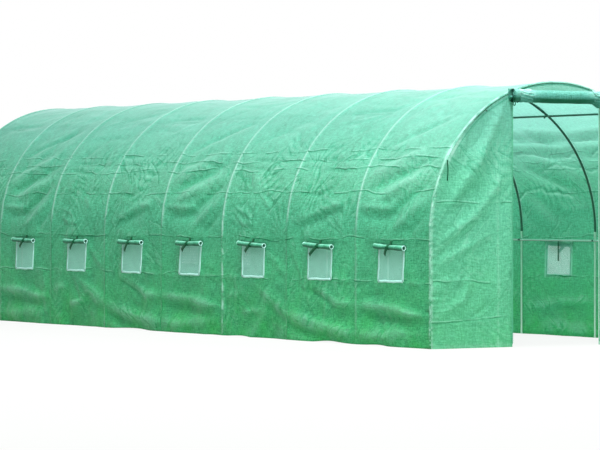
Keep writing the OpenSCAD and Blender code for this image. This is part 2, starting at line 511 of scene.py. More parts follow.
def netting(name, thread):
    """A fine square net: threads with open holes between them."""
    made, g = new_material(name)
    uv = g.add("UVMap", uv_map="cloth")
    along, up, _ = g.split(uv)
    width = NET_PITCH * THREAD
    lines = bands(along, NET_PITCH, width).at_least(bands(up, NET_PITCH, width))
    shade = g.mix(g.noise(uv, 14.0, 4.0), scaled(thread, 0.8), thread)
    skin = g.skin(shade, 0.7, g.bump(lines, 0.4, 0.0005))
    glow = g.add("BsdfTranslucent", {"Color": shade})
    g.add("OutputMaterial", {0: g.blend(lines, g.add("BsdfTransparent"), g.blend(0.3, skin, glow))})
    return made


def galvanised(name, low, high, dull):
    """Zinc-coated steel tube with soft spangle and dull patches, and painted shade on its underside."""
    made, g = new_material(name)
    co = g.add("TexCoord", out="Object")
    patches = g.noise(co, 9.0, 5.0)
    color = g.mix(g.add("TexVoronoi", {"Vector": co, "Scale": 90.0}, "Distance"), low, high)
    color = g.mix(patches * 0.5, color, dull)
    # painted shade: the faces turned down are darkened
    facing = g.split(g.add("NewGeometry", out="Normal"))[2]
    color = g.mix(g.ramp(facing, -0.1, -0.5) * 0.8, color, scaled(low, 0.25))
    rough = patches * 0.3 + 0.25
    g.add("OutputMaterial", {0: g.skin(color, rough, g.bump(patches, 0.15, 0.0005), metallic=0.7)})
    return made


COVER = woven_sheet("cover_sheet", lin(34, 124, 84), lin(96, 200, 158), lin(200, 246, 232),
                    lin(98, 198, 160), creases=(1.53, 1.445, 1.37, 1.17, 0.80, 0.485),
                    swags=(S_ALL - 1.66, S_ALL - 1.52, S_ALL - 1.40, S_ALL - 1.16),
                    girth=S_ALL, rough_folds=0.28, painted_top_glow=lin(152, 219, 204))
PANEL = woven_sheet("panel_sheet", lin(76, 164, 126), lin(122, 212, 176), lin(208, 248, 236),
                    lin(116, 210, 174), creases=(1.075, 0.495, 0.20), rough_folds=0.20, speckle=1.2,
                    foot=0.8)
ROLLED = woven_sheet("rolled_sheet", lin(46, 132, 100), lin(96, 184, 154), lin(200, 246, 232),
                     lin(84, 190, 150), clear=0.06, rough_folds=0.15, speckle=0.8, sheen=0.4)
BINDING = tape("pale_binding", lin(208, 255, 246), lin(178, 248, 230), clear=0.12)
THIN_BINDING = tape("thin_binding", lin(214, 250, 240), lin(178, 236, 216), clear=0.6)
DARK = tape("dark_tie", lin(6, 92, 56), lin(4, 62, 36))
NET = netting("window_net", lin(160, 220, 204))
ZIP = tape("green_zip", lin(98, 190, 150), lin(70, 160, 120))
# Two copies of one tube as painted light and shade: a dark green shaded one, and a pale lit one for the
# legs, side purlins and posts
SHADED_STEEL = galvanised("shade_painted_tube", (0.045, 0.135, 0.095), (0.10, 0.235, 0.175), (0.03, 0.10, 0.065))
LIT_STEEL = galvanised("light_painted_tube", (0.62, 0.80, 0.70), (0.80, 0.96, 0.87), (0.50, 0.68, 0.58))


def wear(ob, material):
    ob.data.materials.clear()
    ob.data.materials.append(material)


def dress(ob, material, slot, *nodes):
    """Gives a piece its material and hides the imported parts that it stands for; slot is not used."""
    wear(ob, material)
    if nodes:
        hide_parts(*nodes)


# Cover
# Rows of the cover's grid: places beside a hoop and at the ends, and counts beside and across a window
HOOP_ROWS = [0.009, 0.018, 0.032, 0.055]
END_ROWS = (0.004, 0.009)
NEAR_BAYS, NEAR_ROWS, FAR_ROWS = 3, (15, 16), (11, 12)
# Runs of its lines round the girth: end of the run and number of lines
GIRTH_RUNS = ((SILL_Z, 32), (WIN_TOP, 16), (LEG, 7), (CROWN, 113), (S_ALL - LEG, 56), (S_ALL - WIN_TOP, 4),
              (S_ALL - SILL_Z, 8), (S_ALL, 15))
# Shift of the noise on the right side, so that the sides differ
RIGHT_SHIFT = 40
# Cloth above a window that its rolled flap keeps flat
FLAP_ROOM = 0.05
LEAN_RANGE, LEAN_SEEDS = (0.010, 0.036), {-1: 41, 1: 42}

# Folds narrower than this are sharp
SHARP = 0.02
FOLD_GAIN = 1.4
FOLD_REPEAT = 3
COARSE_FOLD = 0.022
# Folds of the right wall that show through the doorway, written as the ones below
FAR_WALL_FOLDS = (
    (0.016, 0.032, ((0.1, 1.80), (0.9, 1.72), (1.7, 1.78), (2.6, 1.70))),
    (-0.016, 0.034, ((0.1, 1.72), (1.0, 1.65), (2.4, 1.66))),
    (0.015, 0.030, ((0.2, 1.60), (1.2, 1.58), (2.2, 1.62))),
    (-0.014, 0.026, ((0.1, 1.52), (1.1, 1.50), (2.4, 1.53))),
    (0.012, 0.020, ((0.1, 1.42), (1.0, 1.45), (2.0, 1.41))),
    (0.010, 0.014, ((0.6, 1.22), (1.4, 1.20), (2.2, 1.23))),
    (0.012, 0.016, ((2.5, 0.98), (2.0, 0.90), (1.7, 0.86))),
    (0.008, 0.016, ((0.4, 0.22), (1.3, 0.20), (2.4, 0.23))),
)
# Folds that repeat every three bays: height, width, and points as (bays behind a hoop, girth from the foot)
FOLDS = (
    # fan of soft folds from the hoop down to the next one
    (0.017, 0.046, ((0.28, 1.53), (1.00, 1.27))), (-0.017, 0.042, ((0.20, 1.42), (0.96, 1.16))),
    (0.017, 0.040, ((0.14, 1.33), (0.78, 1.11))), (-0.016, 0.038, ((0.09, 1.25), (0.58, 0.99))),
    (0.015, 0.036, ((0.07, 1.13), (0.52, 0.87))), (-0.011, 0.028, ((0.04, 1.02), (0.30, 0.84))),
    (0.013, 0.024, ((1.02, 1.06), (0.50, 1.04))), (-0.013, 0.050, ((0.98, 0.97), (0.35, 0.99))),
    (-0.010, 0.034, ((0.20, 1.88), (0.92, 1.54))), (-0.008, 0.040, ((1.85, 1.96), (1.10, 1.99))),
    # fold lines that run along the tunnel
    (-0.008, 0.011, ((1.00, 1.44), (0.77, 1.43), (0.60, 1.437), (0.28, 1.41), (0.03, 1.46))),
    (-0.009, 0.012, ((3.05, 1.47), (2.60, 1.46), (2.42, 1.45), (1.75, 1.44), (1.15, 1.45))),
    (-0.007, 0.013, ((3.20, 1.54), (2.68, 1.53))), (-0.006, 0.012, ((2.40, 1.50), (1.44, 1.54))),
    (-0.009, 0.012, ((3.10, 1.39), (2.90, 1.40), (2.52, 1.37), (2.45, 1.355), (2.37, 1.40))),
    (-0.007, 0.011, ((2.36, 1.43), (1.97, 1.40), (1.69, 1.36))),
    (-0.009, 0.013, ((1.66, 1.32), (1.58, 1.36), (1.15, 1.34))),
    (-0.007, 0.014, ((2.86, 1.19), (2.60, 1.18))), (-0.007, 0.013, ((2.38, 1.20), (2.00, 1.18))),
    (-0.009, 0.016, ((1.86, 1.16), (1.55, 1.15))), (0.008, 0.013, ((3.0, 0.485), (2.72, 0.478))),
    (0.008, 0.014, ((1.34, 0.485), (0.70, 0.478))), (0.008, 0.013, ((0.32, 0.485), (0.02, 0.478))),
    # crumples between them
    (-0.009, 0.014, ((1.53, 1.34), (1.66, 1.17))),
    (-0.010, 0.016, ((1.34, 1.32), (1.42, 1.21), (1.72, 1.11))),
    (-0.007, 0.012, ((1.37, 1.39), (1.29, 1.49))),
    (0.009, 0.014, ((2.86, 1.05), (2.64, 1.0), (2.56, 0.93))),
    (0.009, 0.015, ((2.80, 0.98), (2.66, 0.90))), (-0.007, 0.012, ((2.58, 1.33), (2.50, 1.22))),
    (-0.007, 0.012, ((2.70, 1.32), (2.66, 1.20))), (-0.008, 0.016, ((2.50, 1.20), (2.30, 1.10))),
    (0.007, 0.012, ((2.45, 1.16), (2.26, 1.02))), (0.013, 0.036, ((1.18, 1.12), (1.90, 0.92))),
    (-0.014, 0.050, ((1.30, 1.03), (1.90, 0.88))), (0.010, 0.02, ((1.38, 1.05), (1.22, 1.08))),
    # long swags in the slack foot of the wall
    (0.014, 0.050, ((2.50, 0.44), (2.20, 0.31), (1.95, 0.20), (1.54, 0.13), (1.14, 0.09), (0.75, 0.07),
                    (0.10, 0.12))),
    (-0.010, 0.040, ((2.30, 0.24), (1.95, 0.11), (1.50, 0.05))),
    (0.012, 0.034, ((1.56, 0.46), (1.26, 0.31), (0.94, 0.305), (0.50, 0.29), (0.12, 0.25))),
    (-0.010, 0.040, ((1.20, 0.22), (0.60, 0.21), (0.20, 0.18))),
    (0.010, 0.022, ((0.42, 0.26), (0.03, 0.235))),
    (0.008, 0.030, ((2.98, 0.31), (2.72, 0.36))), (-0.008, 0.014, ((1.72, 0.42), (1.36, 0.31))),
    (0.008, 0.020, ((2.70, 0.20), (2.40, 0.22))),
    (-0.010, 0.030, ((2.60, 0.72), (2.20, 0.60), (2.05, 0.46))),
    (0.011, 0.040, ((2.32, 0.70), (2.12, 0.55), (1.90, 0.50))),
    (0.009, 0.016, ((2.72, 0.93), (2.48, 0.90))),
)
# Short random folds: count, seed, then ranges of girth, height, length and width, and turn
SHORT_FOLDS = (
    (300, 101, (0.0, 2.1), (0.002, 0.005), (0.15, 0.60), (0.011, 0.024), 1.0),
    (300, 102, (0.95, 1.60), (0.002, 0.006), (0.06, 0.22), (0.010, 0.018), 1.0),
    (140, 104, (1.7, CROWN), (0.002, 0.004), (0.3, 0.9), (0.02, 0.05), 0.25),
    (380, 103, (CROWN, S_ALL), (0.002, 0.006), (0.14, 0.45), (0.022, 0.04), 1.0),
)
# Painted light and shade over each hoop's leg: how pale (above 0) or dark (below 0) the cloth is there
LEG_LIGHT_AND_SHADE = np.array((0.35, 0.22, -0.42, 0.30, -0.18, -0.42, -0.34, 0.25, 0.35))
# How far the cover may stand in and out, and how much less it stands in by a purlin
DEEPEST, PROUDEST, PURLIN_ROOM = -0.046, 0.022, 0.028


def profile(s, off):
    """The cover's section: up the left wall, over the arch and down the right."""
    a = np.clip((s - LEG) / SHEET_R, 0, math.pi)
    nx, nz = -np.cos(a), np.sin(a)
    z = LEG + nz * SHEET_R
    z = np.where(s < LEG, s, np.where(s > S_ALL - LEG, S_ALL - s, z))
    return nx * SHEET_R + nx * off, z + nz * off


def window_leans(seed):
    """How far each window's sill is drawn along the wall."""
    rnd = random.Random(seed)
    return np.array([rnd.uniform(*LEAN_RANGE) for _ in range(BAYS)])


LEANS = {side: window_leans(seed) for side, seed in LEAN_SEEDS.items()}


def bay_lines():
    """Places of the grid's rows: close at hoops, on the windows' edges, and finer in the near bays."""
    edge = 0.5 - WIN_HALF
    ys = [FRONT_Y] + [FRONT_Y + v for v in END_ROWS] + [FIRST_Y]
    for i in range(BAYS):
        beside, across = NEAR_ROWS if i < NEAR_BAYS else FAR_ROWS
        half = HOOP_ROWS + list(np.linspace(HOOP_ROWS[-1], edge, beside + 1))[1:]
        window = list(np.linspace(edge, 1 - edge, across + 1))[1:-1]
        span = half + window + [1 - v for v in reversed(half)] + [1.0]
        ys += [FIRST_Y + (i + v) * BAY for v in span]
    return np.array(ys + [REAR_Y - v for v in reversed(END_ROWS)] + [REAR_Y])


def girth_lines():
    """Places of the grid's lines round the girth."""
    s = [0.0]
    for end, count in GIRTH_RUNS:
        s += list(np.linspace(s[-1], end, count + 1))[1:]
    return np.array(s)


def cover_grid(y, s):
    """Grids of place along, girth, height up the wall, place in bays, nearest hoop and distance to it."""
    Y, S = np.meshgrid(y, s, indexing="ij")
    t = (Y - FIRST_Y) / BAY
    hoop = np.clip(np.round(t), 0, BAYS)
    return Y, S, np.minimum(S, S_ALL - S), t, hoop, np.abs(t - hoop) * BAY


def from_window_middle(y):
    """Distance along the wall from the middle of the bay."""
    return np.abs(((y - FIRST_Y) / BAY % 1.0 - 0.5) * BAY)


def window_gap(h, y):
    """Distance from the nearest window, for a height h up the wall and a place y."""
    dy = np.maximum(from_window_middle(y) - WIN_HALF - BIND, 0)
    dz = np.maximum(np.maximum(SILL_Z - BIND - h, h - WIN_TOP - FLAP_ROOM), 0)
    return np.hypot(dy, dz)


def sill_shift(z, lean):
    """How far a window is drawn along the wall at height z, where its sill is drawn by lean."""
    return lean * np.clip((WIN_TOP - z) / (WIN_TOP - SILL_Z), 0, 1)


def window_shift(right, h, y):
    """How far the cover is drawn along the wall by its leaning windows."""
    t = (y - FIRST_Y) / BAY
    bay = np.clip(np.floor(t), 0, BAYS - 1).astype(int)
    lean = np.where(right, LEANS[1][bay], LEANS[-1][bay])
    near = 1 - step(WIN_HALF + 0.03, 0.42, np.abs((t - bay - 0.5) * BAY))
    return sill_shift(h, lean) * near * step(SILL_Z - 0.30, SILL_Z - BIND, h)


def fold_height(a, b, points, width, height):
    """One fold along a line of points, faded at both ends: sharp if it is narrow, else soft."""
    pts = np.array(points, float)
    runs = np.hypot(*np.diff(pts, axis=0).T)
    gap = np.full(np.broadcast(a, b).shape, np.inf)
    along, start = 0.0, 0.0
    for p, q, run in zip(pts, pts[1:], runs):
        da, db = q - p
        f = np.clip(((a - p[0]) * da + (b - p[1]) * db) / run ** 2, 0, 1)
        away = np.hypot(a - p[0] - f * da, b - p[1] - f * db)
        along = np.where(away < gap, (start + f * run) / runs.sum(), along)
        gap = np.minimum(away, gap)
        start += run
    fade = np.sin(np.pi * np.clip(along, 0.03, 0.97)) ** 0.6
    return height * fade * bell(gap, width, 1.3 if width < SHARP else 2)


def press_fold(d, y, s, points, width, height):
    """Adds one fold to the part of a grid of offsets that it reaches."""
    reach = 3 * width
    low, high = np.min(points, axis=0) - reach, np.max(points, axis=0) + reach
    i0, i1 = np.searchsorted(y, (low[0], high[0]))
    j0, j1 = np.searchsorted(s, (low[1], high[1]))
    if i1 > i0 and j1 > j0:
        d[i0:i1, j0:j1] += fold_height(y[i0:i1, None], s[None, j0:j1], points, width, height)


def random_folds(d, y, s, count, seed, s_range, height, length, width, turn):
    """Short crooked creases with mixed directions; a small turn keeps them along the tunnel."""
    rnd = random.Random(seed)
    for _ in range(count):
        cy, cs = rnd.uniform(FRONT_Y, REAR_Y), rnd.uniform(*s_range)
        leans = (rnd.gauss(0.75, 0.3), rnd.gauss(-0.75, 0.3), rnd.gauss(0, 0.2), rnd.uniform(-1.6, 1.6))
        lean = rnd.choice(leans) * turn
        half, bend = rnd.uniform(*length) / 2, rnd.gauss(0, 0.12)
        dy, ds = half * math.cos(lean), half * math.sin(lean)
        points = ((cy - dy, cs - ds), (cy - ds * bend, cs + dy * bend), (cy + dy, cs + ds))
        rise = rnd.uniform(*height) * rnd.choice((-1, -1, 1))
        press_fold(d, y, s, points, rnd.uniform(*width), rise)


def line_folds(y, s):
    """The folds of the tables, on both walls, and the short random ones."""
    d = np.zeros((len(y), len(s)))
    for first in range(0, BAYS + 1, FOLD_REPEAT):
        for height, width, line in FOLDS:
            near = [(FIRST_Y + (first + b) * BAY, g) for b, g in line]
            far = [(LAST_Y - (first + b) * BAY, S_ALL - g) for b, g in line]
            press_fold(d, y, s, near, width, FOLD_GAIN * height)
            press_fold(d, y, s, far, max(width, COARSE_FOLD), FOLD_GAIN * height)
    for height, width, line in FAR_WALL_FOLDS:
        far = [(FIRST_Y + b * BAY, S_ALL - g) for b, g in line]
        press_fold(d, y, s, far, width, FOLD_GAIN * height)
    for folds in SHORT_FOLDS:
        random_folds(d, y, s, *folds)
    return d


def broad_folds(Y, S, h, t, side):
    """Wide slanting folds, one way in some patches and the other in the rest, and low swells."""
    a1, b1 = S * 0.62 + Y * 0.78, Y * 0.62 - S * 0.78
    a2, b2 = S * 0.86 - Y * 0.50, S * 0.50 + Y * 0.86
    pick = step(-0.25, 0.35, noise2(t * 0.8 + side, h * 0.9, 11))
    one = ridge(a1 * 0.9 + 7, b1 * 3.2 + 0.5 * noise2(a1 * 2, b1 * 2, 5), 21)
    other = ridge(a2 * 0.8, b2 * 3.0 + 0.5 * noise2(a2 * 2, b2 * 2, 6), 22)
    return 0.008 * (one * pick + other * (1 - pick)) + 0.005 * fbm(S * 5.0 + side, Y * 5.0, 31)


def sewn_gathers(Y, S, h, t):
    """Gathers where two lengths of cover are sewn together on a hoop."""
    near = sum(np.exp(-np.abs(t - i) * BAY / 0.05) for i in SEAM_HOOPS) * (1 - step(0.95, 1.45, h))
    wave = np.sin(TURN * S / 0.040 + 5 * noise2(S * 9, Y * 4, 51))
    return 0.005 * near * wave * (0.6 + 0.6 * noise2(S * 4, Y * 3, 52))


def cover_offsets(y, s):
    """How far the cover stands out from its plain section at each point of its grid."""
    Y, S, h, t, _, q = cover_grid(y, s)
    side = np.where(S < CROWN, 0, RIGHT_SHIFT)
    mid = np.where((t < 0) | (t > BAYS), 0, np.abs(np.sin(np.pi * t)))
    up = np.clip((h - LEG) / (CROWN - LEG), 0, 1)
    free = 0.3 + 0.7 * np.clip(mid * 1.4, 0, 1)
    folds = line_folds(y, s) + broad_folds(Y, S, h, t, side) * (1 - 0.6 * step(0.3, 0.7, up))
    d = folds * free * (1 + 0.5 * (1 - step(0.35, 0.55, h)))
    # sag between hoops, and the step down beside each hoop
    d -= mid ** 0.7 * (0.006 + 0.008 * up) * (0.75 + 0.5 * noise2(t * 0.9 + side, h * 1.1, 3))
    d -= 0.0055 * (1 - bell(q, 0.015))
    d += sewn_gathers(Y, S, h, t)
    # loose foot, then flat round the windows and on the hoops
    d += 0.020 * noise2(Y * 2.3 + side, Y * 0, 61) * (1 - step(0.0, 0.25, h)) * free
    d = np.where(h < 1.0, d * step(0.0, 0.10, window_gap(h, Y)), d)
    d *= np.where(q < 0.02, 0.35 + 0.65 * step(0.004, 0.02, q), 1.0)
    by_purlin = np.maximum(bell(h - SIDE_PURLIN, 0.06), bell(h - UPPER_PURLIN, 0.06))
    d = np.clip(d, DEEPEST + PURLIN_ROOM * by_purlin, PROUDEST)
    return d - 0.006 * (1 - step(0.0, 0.009, np.minimum(Y - FRONT_Y, REAR_Y - Y)))


def smoothed(d, passes):
    for _ in range(passes):
        p = np.pad(d, 1, mode="edge")
        d = (p[:-2, 1:-1] + p[2:, 1:-1] + p[1:-1, :-2] + p[1:-1, 2:] + 4 * d) / 8
    return d


def fold_light_and_shade(d, passes, strength):
    """Ridges paler and hollows darker: painted highlight on the ridges and painted shade in the hollows,
    which deepen the folds.
    """
    return np.clip(strength * (d - smoothed(d, passes)), -0.45, 0.35)


def cover_tones(y, s, d):
    """The cloth's tone: a painted highlight where it is drawn over a hoop's arch, pale where it is sewn,
    painted light and shade in lines where it hangs over a leg, and painted light and shade on its roof and
    folds.
    """
    Y, S, h, t, hoop, q = cover_grid(y, s)
    right, over = S > CROWN, step(0.84, 1.02, h)
    # painted highlight: a pale line where the cloth is drawn over each hoop's arch
    tone = bell(q, 0.0105) * 0.80 * over * (0.75 + 0.25 * noise2(S * 3, Y * 0, 81))
    # painted light and shade: pale or dark lines where the cloth hangs over the legs
    legs = LEG_LIGHT_AND_SHADE[hoop.astype(int)] * np.clip(0.7 + 0.9 * noise2(S * 5, hoop, 84), 0, 1)
    tone += bell(q, 0.008) * legs * (1 - over)
    # worn patches on the sewn seams, and a painted shadow along the seam at the top of the windows, deepest
    # over them
    sewn = sum(bell((t - i) * BAY, 0.014) for i in SEAM_HOOPS)
    patch = step(0.0, 0.4, noise2(S * 26, Y * 34, 82)) * step(0.05, 0.15, h) * (1 - step(1.0, 1.15, h))
    tone += 0.70 * sewn * patch
    seam = bell(h - SEAM_H - 0.004 * noise2(Y * 2, Y * 0, 85), 0.007)
    by_window = bell((t % 1.0) - 0.5, 0.30, 4)
    tone -= seam * (0.22 + 0.75 * by_window * np.clip(0.6 + noise2(Y * 3, Y * 0, 83), 0.2, 1))
    # painted light on the roof, palest in the first bay, the wrapped shoulder of the first hoop, a darker
    # line along the bottom edge, and pale edges of the right windows, painted light that comes through
    # their bindings
    tone += (0.19 - 0.07 * step(0.7, 1.3, t) - 0.06 * step(4.4, 5.6, t)) * step(0.95, 1.30, h)
    tone += 0.6 * bell(h - 1.505, 0.075, 4) * (S < CROWN) * bell(Y - FIRST_Y, 0.035)
    tone -= 0.5 * bell(h, 0.008)
    tone += 0.75 * right * (window_gap(h, Y) < 0.004) * (np.abs(h - 0.62) < 0.16)
    # painted light and shade on the folds, stronger near the foot
    foot = 1 + 0.5 * (1 - step(0.40, 0.60, h))
    return np.clip(tone + foot * fold_light_and_shade(d, 60, 7.5), -1, 1)


def make_cover():
    """One sheet over the roof and both sides, with its window openings cut in it."""
    y, s = bay_lines(), girth_lines()
    Y, S, h, t, _, _ = cover_grid(y, s)
    d = cover_offsets(y, s)
    x, z = profile(S, d)
    # the hem lifts a little between hoops
    slack = np.clip(noise2(Y * 1.9 + np.where(S < CROWN, 0, RIGHT_SHIFT), Y * 0 + 3, 71), 0, 1)
    z = z + 0.022 * slack * (1 - step(0, 0.06, h)) * np.clip(np.sin(np.pi * t) ** 2, 0, 1)
    yc, hc = 0.5 * (Y[:-1, :-1] + Y[1:, 1:]), 0.5 * (h[:-1, :-1] + h[1:, 1:])
    window = (from_window_middle(yc) < WIN_HALF) & (hc > SILL_Z) & (hc < WIN_TOP)
    window &= (yc > FIRST_Y) & (yc < LAST_Y)
    faces = np.array(grid_faces(len(y), len(s), window))
    kept, faces = np.unique(faces, return_inverse=True)
    points = rows(x, Y + window_shift(S > CROWN, h, Y), z)[kept]
    tone = cover_tones(y, s, d).ravel()[kept]
    ob = mesh_object("cover", points, faces.reshape(-1, 4).tolist(), rows(Y, S)[kept], tone)
    strips = ("wall", "eave", "haunch", "crown")
    dress(ob, COVER, "sheet", *[f"{a}_{b}_sheet" for a in ("left", "right") for b in strips])


# End panels
# Folds of a front panel: height, width, and points as (across from the middle, up)
PANEL_FOLDS = (
    (0.016, 0.045, ((0.46, 1.86), (0.51, 1.78), (0.71, 1.40), (0.86, 1.22), (0.98, 1.06))),
    (-0.014, 0.050, ((0.62, 1.74), (0.80, 1.50), (0.98, 1.26))),
    (-0.012, 0.050, ((0.48, 1.50), (0.70, 1.20), (0.95, 1.02))),
    (0.012, 0.040, ((0.46, 1.32), (0.72, 1.02), (1.06, 0.78))),
    (-0.009, 0.030, ((0.62, 0.98), (1.08, 0.70))), (0.009, 0.026, ((0.60, 0.86), (1.10, 0.62))),
    (0.007, 0.012, ((1.12, 1.085), (0.80, 1.07), (0.62, 1.05))),
    (0.008, 0.012, ((1.12, 0.50), (0.86, 0.505), (0.78, 0.495))),
    (0.009, 0.030, ((1.10, 0.24), (0.86, 0.36), (0.78, 0.55))),
    (-0.007, 0.014, ((0.80, 0.22), (0.58, 0.35))),
    (-0.007, 0.012, ((0.86, 1.38), (0.74, 1.28))), (0.006, 0.012, ((1.05, 1.44), (0.90, 1.31))),
)
PANEL_FOLD_GAIN = 1.5
PANEL_SHORT_FOLDS = 90
# Packing creases: (height up a front panel, depth), and heights and depth of the rear ones
PANEL_CREASES = ((1.075, 0.0042), (0.475, 0.0042), (0.19, 0.002), (1.42, 0.002))
REAR_CREASES, REAR_CREASE_DEPTH = (0.48, 1.07, 1.55), 0.004
CREASE_RISE = 0.014
PANEL_SEAM = DOOR_HALF + 0.135
REAR_POST = DOOR_HALF + 0.0125
PANEL_IN = 0.001


def half_width(z):
    """Half the width of an end panel at height z."""
    arch = np.sqrt(np.maximum(END_R ** 2 - np.maximum(z - LEG, 0) ** 2, 0))
    return np.where(z < LEG, END_R, arch)


def from_rim(X, Z):
    """Distance in from the cover's edge."""
    return SHEET_R - np.hypot(X, np.maximum(Z - LEG, 0))


def crease_step(line, width):
    """A packing crease: a hollow with a ridge just above it."""
    return bell(line - CREASE_RISE, width) - bell(line, width)


def panel_offsets(X, Z, U, rim, top, seed):
    """How far a front panel stands out at each point of its grid."""
    a, b = Z * 0.8 + X * 0.6, Z * 0.6 - X * 0.8
    flat = step(0.0, 0.10, X - DOOR_HALF)
    drawn = ridge(a * 1.1 + seed, b * 2.9 + 0.4 * noise2(a * 2, b * 2, 5), 90 + seed)
    y = 0.010 * flat * step(0.0, 0.12, rim) * drawn + 0.003 * flat * fbm(X * 7, Z * 7, 95 + seed)
    # gathers along the sewn edge
    gather = np.exp(-rim / 0.10) * (1 - step(1.0, 1.25, Z)) * step(-0.1, 0.2, Z)
    place = Z + 0.05 * noise2(X * 8, Z * 3, 97 + seed)
    y += 0.0085 * gather * np.sin(TURN * place / 0.052 + 4 * noise2(Z * 5, X * 2, 98 + seed))
    y += 0.0022 * np.exp(-rim / 0.03) * np.sin(TURN * Z / 0.021) * (1 - step(1.05, 1.3, Z))
    for z0, depth in PANEL_CREASES:
        line = Z - z0 - 0.02 * noise2(X * 3, X * 0 + z0, 99 + seed) + 0.03 * (X - DOOR_HALF)
        y += depth * step(0.0, 0.25, U) * crease_step(line, 0.012)
    y += 0.0016 * bell(X - PANEL_SEAM, 0.010) * (1 - step(1.45, 1.6, Z))
    for height, width, line in PANEL_FOLDS:
        y += flat * fold_height(X, Z, line, width, PANEL_FOLD_GAIN * height)
    rnd = random.Random(200 + seed)
    for _ in range(PANEL_SHORT_FOLDS):
        cx, cz, lean = rnd.uniform(DOOR_HALF, SHEET_R), rnd.uniform(0, top), rnd.gauss(0.8, 0.7)
        half = rnd.uniform(0.03, 0.14)
        dx, dz = half * math.cos(lean), half * math.sin(lean)
        ends = ((cx - dx, cz - dz), (cx + dx, cz + dz))
        y += flat * fold_height(X, Z, ends, rnd.uniform(0.010, 0.022), rnd.uniform(-0.005, 0.004))
    return np.clip(y, -0.013, 0.030)


def panel_tones(X, Z, rim, y):
    """Pale on the hem, the seam and the wrapped shoulder, dark along the stitching of the arch, with
    painted light on the upper panel and painted light and shade on the folds.
    """
    tone = 0.45 * bell(rim, 0.012) * (1 - step(1.0, 1.2, Z))
    tone += 0.15 * bell(Z - 0.018, 0.010)
    tone -= 0.55 * bell(rim - 0.040, 0.0035) * step(1.35, 1.5, Z)
    tone += 0.55 * bell(rim - 0.020, 0.022) * bell(Z - 1.47, 0.10, 4)
    tone += 0.22 * bell(X - PANEL_SEAM, 0.008) * (1 - step(1.45, 1.6, Z))
    # painted light: the upper panel paler; painted light and shade on the folds
    tone += 0.12 * step(1.15, 1.60, Z) + fold_light_and_shade(y, 60, 4.0)
    return np.clip(tone, -1, 1)


def make_side_panel(s, seed):
    """A front panel beside the doorway; s is -1 for the left one."""
    top = LEG + math.sqrt(END_R ** 2 - DOOR_HALF ** 2)
    z = np.concatenate([np.linspace(0, 1.55, 112), np.linspace(1.55, top, 36)[1:]])
    u = np.concatenate([np.linspace(0, 0.55, 26), np.linspace(0.55, 1, 40)[1:]])
    Z, U = np.meshgrid(z, u, indexing="ij")
    X = DOOR_HALF + U * np.maximum(half_width(Z) - DOOR_HALF, 0.0)
    rim = np.minimum(half_width(Z) - X, from_rim(X, Z))
    y = panel_offsets(X, Z, U, rim, top, seed)
    points = rows(s * X, FRONT_Y + PANEL_IN - y * step(0.0, 0.02, rim), Z)
    word = WORDS[s]
    ob = mesh_object(f"front_{word}_cloth", points, grid_faces(len(z), len(u), flip=s < 0), rows(X, Z),
                     panel_tones(X, Z, rim, y).ravel())
    dress(ob, PANEL, "panel", f"front_{word}_panel")


def make_head():
    """The lunette of cloth over the doorway, slack between its seam and the roll."""
    n, m = 60, 18
    u, v = np.meshgrid(np.linspace(-1, 1, n), np.linspace(0, 1, m), indexing="ij")
    X = u * DOOR_HALF
    top = LEG + np.sqrt(END_R ** 2 - X * X)
    Z = HEAD_Z + v * (top - HEAD_Z)
    y = 0.006 * np.sin(math.pi * v) * (0.6 + 0.4 * noise2(X * 5, Z * 8, 301))
    y += 0.0015 * np.exp(-(1 - v) / 0.2) * np.sin(X * TURN / 0.03)
    # painted light: the lunette paler all over, for the light through it from the roof behind, with a dark
    # line along its top seam
    tone = 0.42 - 0.90 * bell(top - Z - 0.018, 0.004)
    points = rows(X, FRONT_Y + PANEL_IN - y, Z)
    ob = mesh_object("front_head_cloth", points, grid_faces(n, m), rows(X, Z), tone.ravel())
    dress(ob, PANEL, "panel", "front_head_panel")


def rear_offsets(X, Z, rim, post):
    """How far the rear panel stands out at each point of its grid."""
    y = 0.010 * step(0, 0.15, rim) * ridge(Z * 1.2 + X * 0.7, X * 2.4 - Z * 0.9, 310) * (1 - post)
    gather = np.sin(TURN * Z / 0.05 + 4 * noise2(Z * 5, X * 2, 311)) * (Z < 1.2)
    y += 0.0045 * np.exp(-rim / 0.06) * gather + 0.003 * fbm(X * 6, Z * 6, 312)
    for z0 in REAR_CREASES:
        line = Z - z0 - 0.02 * noise2(X * 3, X * 0 + z0, 313)
        y += REAR_CREASE_DEPTH * crease_step(line, 0.014)
    for height, width, line in PANEL_FOLDS:
        y += fold_height(np.abs(X), Z, line, max(width, COARSE_FOLD), height) * (1 - post)
    return np.clip(y * step(0, 0.02, rim), -0.010, 0.016) + 0.002 * post


def make_rear():
    """The closed rear end, drawn tight over its two posts."""
    arch = LEG + END_R * np.sin(np.linspace(0, math.pi / 2, 60))
    z, u = np.concatenate([np.linspace(0, LEG, 44), arch[1:]]), np.linspace(-1, 1, 90)
    Z, U = np.meshgrid(z, u, indexing="ij")
    X = U * half_width(Z)
    rim = from_rim(X, Z)
    post = bell(np.abs(X) - REAR_POST, 0.014)
    y = rear_offsets(X, Z, rim, post)
    # tone: pale rim, painted highlights where the cloth is drawn over the posts, a little paler all over,
    # and painted light and shade on the folds
    tone = 0.4 * bell(rim, 0.012) + 0.25 * post * step(0.7, 1.0, Z) * (Z < 1.88)
    tone = np.clip(tone + 0.06 + fold_light_and_shade(y, 40, 8.0), -1, 1)
    points = rows(X, REAR_Y - PANEL_IN + y, Z)
    ob = mesh_object("rear_cloth", points, grid_faces(len(z), len(u), flip=True), rows(X, Z), tone.ravel())
    dress(ob, PANEL, "panel", "rear_panel")


# Rolls
# Points of a roll's flat edge above its first turn
FLAT_POINTS = 4
